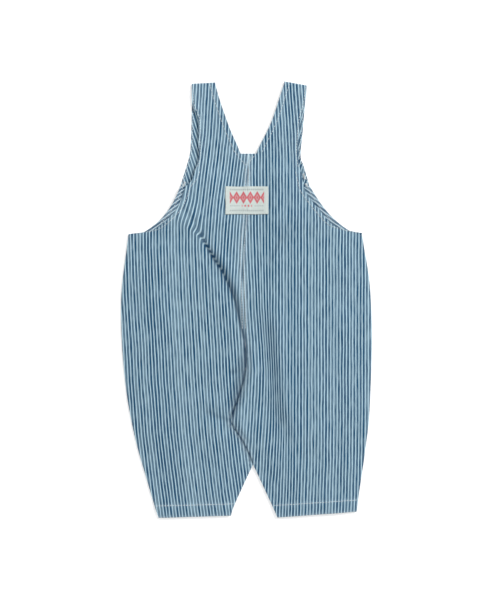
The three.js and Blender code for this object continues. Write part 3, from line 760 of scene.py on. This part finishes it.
def stripe_group():
    """Dark and light warp stripes of uneven strength, with slubs along them."""
    tree, entry, leave = group(
        "warp stripes",
        [
            ("Grain", "NodeSocketVector", None),
            ("Pitch", "NodeSocketFloat", STRIPE),
            ("Dark share", "NodeSocketFloat", DARK_SHARE),
        ],
        [("Mask", "NodeSocketFloat"), ("Slub", "NodeSocketFloat")],
    )
    parts = node(tree, "ShaderNodeSeparateXYZ")
    tree.links.new(entry.outputs["Grain"], parts.inputs[0])
    wobble = noise(tree, entry.outputs["Grain"], 95, 2, (1, 0.3, 1))
    shifted = maths(tree, "MULTIPLY_ADD", wobble, 0.0013, parts.outputs["X"])
    turns = maths(tree, "DIVIDE", shifted, entry.outputs["Pitch"])
    phase = maths(tree, "FRACT", turns)
    centre = maths(tree, "ABSOLUTE", maths(tree, "SUBTRACT", phase, 0.5))
    edge = maths(tree, "SUBTRACT", maths(tree, "MULTIPLY", entry.outputs["Dark share"], 0.5), centre)
    soft = maths(tree, "MULTIPLY_ADD", edge, 9.0, 0.5)
    soft.node.use_clamp = True
    which = maths(tree, "FLOOR", turns)
    lottery = node(tree, "ShaderNodeTexWhiteNoise")
    lottery.noise_dimensions = "1D"
    tree.links.new(which, lottery.inputs["W"])
    strength = maths(tree, "MULTIPLY_ADD", lottery.outputs["Value"], 0.26, 0.8)
    streak = noise(tree, entry.outputs["Grain"], 420, 3, (1, 0.13, 1))
    uneven = maths(tree, "MULTIPLY_ADD", streak, 1.1, 0.42)
    woven = maths(tree, "MULTIPLY", maths(tree, "MULTIPLY", soft, strength), uneven)
    woven.node.use_clamp = True
    tree.links.new(woven, leave.inputs["Mask"])
    slub = noise(tree, entry.outputs["Grain"], 900, 3, (1, 0.16, 1))
    tree.links.new(slub, leave.inputs["Slub"])
    return tree


def twill_group():
    """The fine diagonal rib of twill, as a height."""
    tree, entry, leave = group(
        "twill",
        [("Grain", "NodeSocketVector", None), ("Rib", "NodeSocketFloat", TWILL_RIB)],
        [("Height", "NodeSocketFloat")],
    )
    parts = node(tree, "ShaderNodeSeparateXYZ")
    tree.links.new(entry.outputs["Grain"], parts.inputs[0])
    slope = maths(tree, "MULTIPLY_ADD", parts.outputs["Y"], 0.6, parts.outputs["X"])
    turns = maths(tree, "MULTIPLY", maths(tree, "DIVIDE", slope, entry.outputs["Rib"]), 2 * math.pi)
    rib = maths(tree, "MULTIPLY_ADD", maths(tree, "SINE", turns), 0.5, 0.5)
    fuzz = noise(tree, entry.outputs["Grain"], 2400, 2)
    tree.links.new(maths(tree, "MULTIPLY_ADD", fuzz, 0.6, rib), leave.inputs["Height"])
    return tree


def fading_group():
    """Where the cloth has faded: its worn edges, broken up, and slow clouds all over."""
    tree, entry, leave = group(
        "fading",
        [("Place", "NodeSocketVector", None), ("Worn", "NodeSocketFloat", 0.0)],
        [("Edge", "NodeSocketFloat"), ("Cloud", "NodeSocketFloat")],
    )
    broken = noise(tree, entry.outputs["Place"], 380, 3)
    chips = maths(tree, "MULTIPLY_ADD", broken, 2.4, -0.6)
    chips.node.use_clamp = True
    tree.links.new(maths(tree, "MULTIPLY", entry.outputs["Worn"], chips), leave.inputs["Edge"])
    tree.links.new(noise(tree, entry.outputs["Place"], 26, 3), leave.inputs["Cloud"])
    return tree


GROUPS = {"stripes": stripe_group(), "twill": twill_group(), "fading": fading_group()}


def use(tree, name, **links):
    made = tree.nodes.new("ShaderNodeGroup")
    made.node_tree = GROUPS[name]
    for key, value in links.items():
        socket = made.inputs[key.replace("_", " ")]
        if isinstance(value, (int, float)):
            socket.default_value = value
        else:
            tree.links.new(value, socket)
    return made


def fresh_material(name, roughness):
    material = bpy.data.materials.new(name)
    material.use_nodes = True
    tree = material.node_tree
    surface = tree.nodes["Principled BSDF"]
    surface.inputs["Roughness"].default_value = roughness
    return material, tree, surface


def denim(name, dark, light, depth=1.0):
    material, tree, surface = fresh_material(name, 0.88)
    surface.inputs["Sheen Weight"].default_value = 0.05
    surface.inputs["Sheen Roughness"].default_value = 0.6
    surface.inputs["Specular IOR Level"].default_value = 0.12
    grain = node(tree, "ShaderNodeUVMap", uv_map="grain").outputs[0]
    place = node(tree, "ShaderNodeTexCoord").outputs["Object"]
    worn = node(tree, "ShaderNodeAttribute", attribute_name="wear").outputs["Fac"]
    stripes = use(tree, "stripes", Grain=grain)
    twill = use(tree, "twill", Grain=grain)
    fading = use(tree, "fading", Place=place, Worn=worn)
    mask = maths(tree, "MULTIPLY", stripes.outputs["Mask"], depth)
    colour = mixed(tree, mask, light, dark)
    slub = maths(tree, "MULTIPLY_ADD", stripes.outputs["Slub"], 0.5, -0.1)
    colour = mixed(tree, maths(tree, "MULTIPLY", slub, 0.7), colour, srgb(84, 132, 166))
    faded = maths(tree, "MULTIPLY_ADD", fading.outputs["Cloud"], 0.22, -0.05)
    colour = mixed(tree, faded, colour, srgb(134, 176, 206))
    edge = maths(tree, "MULTIPLY", fading.outputs["Edge"], 0.5)
    colour = mixed(tree, edge, colour, srgb(214, 228, 236))
    rib = maths(tree, "MULTIPLY_ADD", twill.outputs["Height"], 0.16, -0.06)
    colour = mixed(tree, rib, colour, srgb(46, 90, 124))
    # painted shade: the cloth is darkened in the deep folds
    crease_shade = node(tree, "ShaderNodeAttribute", attribute_name="fold_shade").outputs["Fac"]
    colour = mixed(tree, maths(tree, "MULTIPLY", crease_shade, 0.82), colour, srgb(26, 54, 80))
    tree.links.new(colour, surface.inputs["Base Color"])
    rough = maths(tree, "MULTIPLY_ADD", twill.outputs["Height"], 0.1, 0.8)
    tree.links.new(rough, surface.inputs["Roughness"])
    bump = node(tree, "ShaderNodeBump", Strength=0.5, Distance=0.0003)
    tree.links.new(twill.outputs["Height"], bump.inputs["Height"])
    tree.links.new(bump.outputs[0], surface.inputs["Normal"])
    return material


def thread(name, colour, pale):
    material, tree, surface = fresh_material(name, 0.6)
    surface.inputs["Sheen Weight"].default_value = 0.2
    place = node(tree, "ShaderNodeTexCoord").outputs["Object"]
    twist = noise(tree, place, 1400, 2)
    tree.links.new(mixed(tree, twist, colour, pale), surface.inputs["Base Color"])
    bump = node(tree, "ShaderNodeBump", Strength=0.4, Distance=0.0001)
    tree.links.new(twist, bump.inputs["Height"])
    tree.links.new(bump.outputs[0], surface.inputs["Normal"])
    return material


def band(tree, value, middle, half):
    """1 within half of middle, 0 outside."""
    away = maths(tree, "ABSOLUTE", maths(tree, "SUBTRACT", value, middle))
    return maths(tree, "LESS_THAN", away, half)


def from_cell_middle(tree, value, pitch):
    """Distance from the middle of a repeat, as a share of its pitch."""
    turn = maths(tree, "FRACT", maths(tree, "DIVIDE", value, pitch))
    return maths(tree, "ABSOLUTE", maths(tree, "SUBTRACT", turn, 0.5))


def share_away(tree, value, middle, reach):
    """Distance from middle, as a share of reach."""
    return maths(tree, "DIVIDE", maths(tree, "ABSOLUTE", maths(tree, "SUBTRACT", value, middle)), reach)


def woven_label():
    """Pale ribbon with a woven row of red lozenges between rows of grey dashes."""
    material, tree, surface = fresh_material("woven_label_cloth", 0.65)
    surface.inputs["Sheen Weight"].default_value = 0.15
    grain = node(tree, "ShaderNodeUVMap", uv_map="grain").outputs[0]
    parts = node(tree, "ShaderNodeSeparateXYZ")
    tree.links.new(grain, parts.inputs[0])
    x, y = parts.outputs["X"], parts.outputs["Y"]
    inside = band(tree, x, 0.0, 20.5 * MM)
    tall = share_away(tree, y, LABEL_ROWS["lozenges"], 14 * MM)
    spread = maths(tree, "ADD", from_cell_middle(tree, x, 8.2 * MM), tall)
    lozenge = maths(tree, "MULTIPLY", band(tree, spread, 0.4, 0.15), inside)
    core = maths(tree, "MULTIPLY", maths(tree, "LESS_THAN", spread, 0.2), inside)
    low = share_away(tree, y, LABEL_ROWS["small"], 5 * MM)
    small = maths(tree, "ADD", from_cell_middle(tree, x, 4.1 * MM), low)
    row = maths(tree, "MULTIPLY", maths(tree, "LESS_THAN", small, 0.33), band(tree, x, 0.0, 6.15 * MM))
    red = maths(tree, "MAXIMUM", maths(tree, "MAXIMUM", lozenge, core), row)
    dash = maths(tree, "LESS_THAN", maths(tree, "FRACT", maths(tree, "DIVIDE", x, 2.3 * MM)), 0.62)
    upper = band(tree, y, LABEL_ROWS["upper dashes"], 0.9 * MM)
    rows = maths(tree, "MAXIMUM", upper, band(tree, y, LABEL_ROWS["lower dashes"], 0.9 * MM))
    beyond = maths(tree, "SUBTRACT", 1.0, band(tree, x, 0.0, 8.5 * MM))
    beside = maths(tree, "MULTIPLY", band(tree, y, LABEL_ROWS["small"], 0.5 * MM), beyond)
    dashes = maths(tree, "MULTIPLY", maths(tree, "MAXIMUM", rows, beside), dash)
    grey = maths(tree, "MULTIPLY", dashes, inside)
    weave = noise(tree, grain, 1300, 2, (1, 0.4, 1))
    ground = mixed(tree, weave, srgb(188, 202, 198), srgb(222, 230, 226))
    colour = mixed(tree, maths(tree, "MULTIPLY", grey, 0.6), ground, srgb(130, 142, 146))
    colour = mixed(tree, maths(tree, "MULTIPLY", red, 0.86), colour, srgb(206, 58, 78))
    tree.links.new(colour, surface.inputs["Base Color"])
    rib = maths(tree, "SINE", maths(tree, "MULTIPLY", y, 2 * math.pi / (0.55 * MM)))
    height = maths(tree, "MULTIPLY_ADD", red, 0.8, maths(tree, "MULTIPLY", rib, 0.3))
    bump = node(tree, "ShaderNodeBump", Strength=0.5, Distance=0.0002)
    tree.links.new(height, bump.inputs["Height"])
    tree.links.new(bump.outputs[0], surface.inputs["Normal"])
    return material


def aged_brass():
    material, tree, surface = fresh_material("aged_brass", 0.38)
    surface.inputs["Metallic"].default_value = 1.0
    place = node(tree, "ShaderNodeTexCoord").outputs["Object"]
    tarnish = noise(tree, place, 420, 4)
    colour = mixed(tree, tarnish, srgb(150, 122, 78), srgb(214, 190, 140))
    tree.links.new(colour, surface.inputs["Base Color"])
    tree.links.new(maths(tree, "MULTIPLY_ADD", tarnish, 0.3, 0.25), surface.inputs["Roughness"])
    return material


# ---- Label and buttons ----
def height_finder(pieces):
    """Finds the upper face of pieces at a point."""
    trees = []
    for piece in pieces:
        mesh = piece.data
        corners = [v.co[:] for v in mesh.vertices]
        trees.append(BVHTree.FromPolygons(corners, [p.vertices[:] for p in mesh.polygons]))

    def top(x, y):
        hits = [t.ray_cast(Vector((x, y, 0.2)), Vector((0, 0, -1))) for t in trees]
        heights = [h[0].z for h in hits if h[0] is not None]
        return max(heights) if heights else 0.0

    return top


def draped(top, points, step=1.2 * MM):
    """A path through points in mm, laid on the upper face of the cloth."""
    corners = np.array(points, float) * MM
    lengths = np.hypot(*np.diff(corners, axis=0).T)
    total = np.concatenate([[0], np.cumsum(lengths)])
    at = np.linspace(0, total[-1], max(2, int(total[-1] / step)))
    x, y = np.interp(at, total, corners[:, 0]), np.interp(at, total, corners[:, 1])
    return np.stack([x, y, np.vectorize(top)(x, y) + 0.12 * MM], 1)


def bar_tack(top, x, y, length, lean):
    """Close rows of thread side by side across a strap's edge."""
    e = np.array([math.cos(lean), math.sin(lean)])
    across = np.array([-e[1], e[0]])
    rows = []
    for n in np.arange(-length / 2, length / 2, 0.62):
        middle = np.array([x, y]) + n * e
        rows.append(draped(top, [middle - 1.75 * across, middle + 1.75 * across], 3 * MM))
    return rows


def label_patch(top, material):
    half_w, half_h = LABEL["width"] / 2, LABEL["height"] / 2
    across, along = np.linspace(-half_w, half_w, 60), np.linspace(-half_h, half_h, 40)
    u, v = np.meshgrid(across, along)
    x, y = LABEL["x"] + u * (1 + 0.006 * np.sin(v * 260)), LABEL["y"] + v * (1 + 0.01 * np.sin(u * 170))
    ground = np.vectorize(top)(x, y)
    blurred = ground.copy()
    for _ in range(6):
        padded = np.pad(blurred, 1, mode="edge")
        blurred = (padded[:-2, 1:-1] + padded[2:, 1:-1] + padded[1:-1, :-2] + padded[1:-1, 2:]) / 4
    edge = np.minimum(half_w - np.abs(u), half_h - np.abs(v))
    puff = 0.5 * MM * ease(edge / (8 * MM)) + 0.16 * MM * np.sin(u * 420 + v * 90) * np.exp(-edge / (4 * MM))
    lower = np.maximum(blurred, ground) + 0.15 * MM
    z = lower + puff + turned_edge(edge, 4.5 * MM, 0.25 * MM) + LABEL["wall"] / 2
    points = np.stack([x, y, z], 2)
    worn = np.exp(-edge / (1 * MM))
    patch = shell("label_patch", points, all_facing(points, 1), u, v, worn, LABEL["wall"])
    patch.data.materials.append(material)
    inset = 1.6 * MM
    cols = np.nonzero(np.abs(across) <= half_w - inset)[0]
    lines = np.nonzero(np.abs(along) <= half_h - inset)[0]
    lift = np.array([0, 0, LABEL["wall"] / 2 + 0.05 * MM])
    paths = [points[lines[0], cols] + lift, points[lines[-1], cols] + lift]
    paths += [points[lines, cols[0]] + lift, points[lines, cols[-1]] + lift]
    return patch, paths


def tack_button(side, material):
    """A metal button with a ringed face, modelled from a disc."""
    low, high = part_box(f"button_{side}")
    centre = [(low[n] + high[n]) / 2 for n in range(3)]
    radius, height = (high[0] - low[0]) / 2, high[2] - low[2]
    bpy.ops.object.select_all(action="DESELECT")
    bpy.ops.mesh.primitive_cylinder_add(vertices=64, radius=radius, depth=height, location=centre)
    disc = bpy.context.active_object
    bpy.ops.object.transform_apply(location=True, rotation=False, scale=False)
    for face_down, steps in BUTTON_RINGS:
        bpy.ops.object.mode_set(mode="OBJECT")
        for polygon in disc.data.polygons:
            polygon.select = polygon.normal.z < -0.9 if face_down else polygon.normal.z > 0.9
        bpy.ops.object.mode_set(mode="EDIT")
        bpy.ops.mesh.select_mode(type="FACE")
        for inset, rise in steps:
            bpy.ops.mesh.inset(thickness=inset * MM, depth=0)
            bpy.ops.transform.translate(value=(0, 0, rise * MM * (1 if face_down else -0.4)))
    bpy.ops.object.mode_set(mode="OBJECT")
    disc.name = f"tack_button_{side}"
    bevel = disc.modifiers.new("soft rim", "BEVEL")
    bevel.width = 0.35 * MM
    bevel.segments = 3
    bevel.limit_method = "ANGLE"
    bevel.angle_limit = math.radians(35)
    bpy.ops.object.modifier_apply(modifier=bevel.name)
    bpy.ops.object.shade_smooth_by_angle(angle=math.radians(40))
    disc.data.materials.append(material)
    return disc


# ---- Camera, lights and floor ----
def camera():
    data = bpy.data.cameras.new("camera")
    data.lens = 85
    data.sensor_fit = "VERTICAL"
    data.sensor_height = 36
    seen_height = 720 * MM
    made = bpy.data.objects.new("camera", data)
    made.location = (4.2 * MM, -0.6 * MM, seen_height / 2 * data.lens / (data.sensor_height / 2) + 4 * MM)
    bpy.context.scene.collection.objects.link(made)
    bpy.context.scene.camera = made


def lamp(name, location, size, power):
    data = bpy.data.lights.new(name, "AREA")
    data.size = size
    data.energy = power
    made = bpy.data.objects.new(name, data)
    made.location = location
    made.rotation_euler = (-Vector(location)).to_track_quat("-Z", "Y").to_euler()
    bpy.context.scene.collection.objects.link(made)


def stage():
    bpy.ops.object.select_all(action="DESELECT")
    bpy.ops.mesh.primitive_plane_add(size=30, location=(0, 0, -0.05 * MM))
    floor = bpy.context.active_object
    bpy.ops.object.transform_apply(location=True, rotation=False, scale=False)
    floor.name = "floor"
    material = bpy.data.materials.new("paper_floor")
    material.use_nodes = True
    tree = material.node_tree
    surface = tree.nodes["Principled BSDF"]
    surface.inputs["Base Color"].default_value = (0.86, 0.86, 0.86, 1)
    surface.inputs["Roughness"].default_value = 0.9
    surface.inputs["Specular IOR Level"].default_value = 0.1
    surface.inputs["Emission Color"].default_value = (1, 1, 1, 1)
    ray = node(tree, "ShaderNodeLightPath")
    seen = maths(tree, "MULTIPLY", ray.outputs["Is Camera Ray"], 0.42)
    tree.links.new(seen, surface.inputs["Emission Strength"])
    floor.data.materials.append(material)
    world = bpy.data.worlds.new("studio")
    world.use_nodes = True
    world.node_tree.nodes["Background"].inputs["Color"].default_value = (1, 1, 1, 1)
    world.node_tree.nodes["Background"].inputs["Strength"].default_value = 0.54
    bpy.context.scene.world = world
    bpy.context.scene.view_settings.view_transform = "Standard"
    lamp("key", (1.5, 1.4, 1.9), 0.95, 47.0)
    lamp("fill", (-1.2, 0.2, 1.5), 1.2, 4.0)
    return floor


# ---- The garment ----
camera()
floor = stage()
cloth_blue = denim("hickory_denim", srgb(8, 64, 98), srgb(212, 243, 255))
cloth_inside = denim("hickory_denim_inside", srgb(18, 66, 98), srgb(212, 238, 250), 0.98)
pale_thread = thread("pale_thread", srgb(214, 226, 230), srgb(240, 244, 244))
label_cloth = woven_label()
brass = aged_brass()

backs, everything = {}, []
for side in ("left", "right"):
    back, back_info = back_panel(side, cloth_blue)
    front = front_panel(side, cloth_blue)
    band_piece, band_points = facing(side, cloth_inside)
    backs[side] = back
    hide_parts(f"back_{side}")
    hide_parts(f"front_{side}")
    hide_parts(f"armhole_facing_{side}")
    button = tack_button(side, brass)
    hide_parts(f"button_{side}")

    stitches = sew(f"topstitch_{side}", seam_paths(side, back_info), pale_thread)
    band_edge = band_points[:, FACING_STITCH_COLUMN, :] + THREAD_ABOVE
    band_stitches = sew(f"facing_stitch_{side}", [band_edge], pale_thread)
    strap_line = back_info["front"][: STRAP_STITCH["rows"], STRAP_STITCH["column"], :] + THREAD_ABOVE
    strap_stitches = sew(f"strap_stitch_{side}", [strap_line], pale_thread)
    everything += [back, front, band_piece, button, stitches, band_stitches, strap_stitches]

top = height_finder(list(backs.values()))
neck_point = draped(top, [(-14.5, 178), (-8, 169), (-1, 161), (6, 168), (13.5, 178)])
tack_rows = [row for place in BAR_TACKS for row in bar_tack(top, *place)]
neck_stitches = sew("neck_stitch", [neck_point], pale_thread)
tack_stitches = sew("bar_tack_stitch", tack_rows, pale_thread, 3.4 * MM, 3.2 * MM, 0.6 * MM)
for piece in (neck_stitches, tack_stitches):
    everything.append(piece)
label, label_paths = label_patch(top, label_cloth)
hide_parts("label")
label_stitches = sew("label_stitch", label_paths, pale_thread, 2.6 * MM, 2.0 * MM, 0.42 * MM)
everything += [label, label_stitches]
for piece in everything:
    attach(piece, "root")
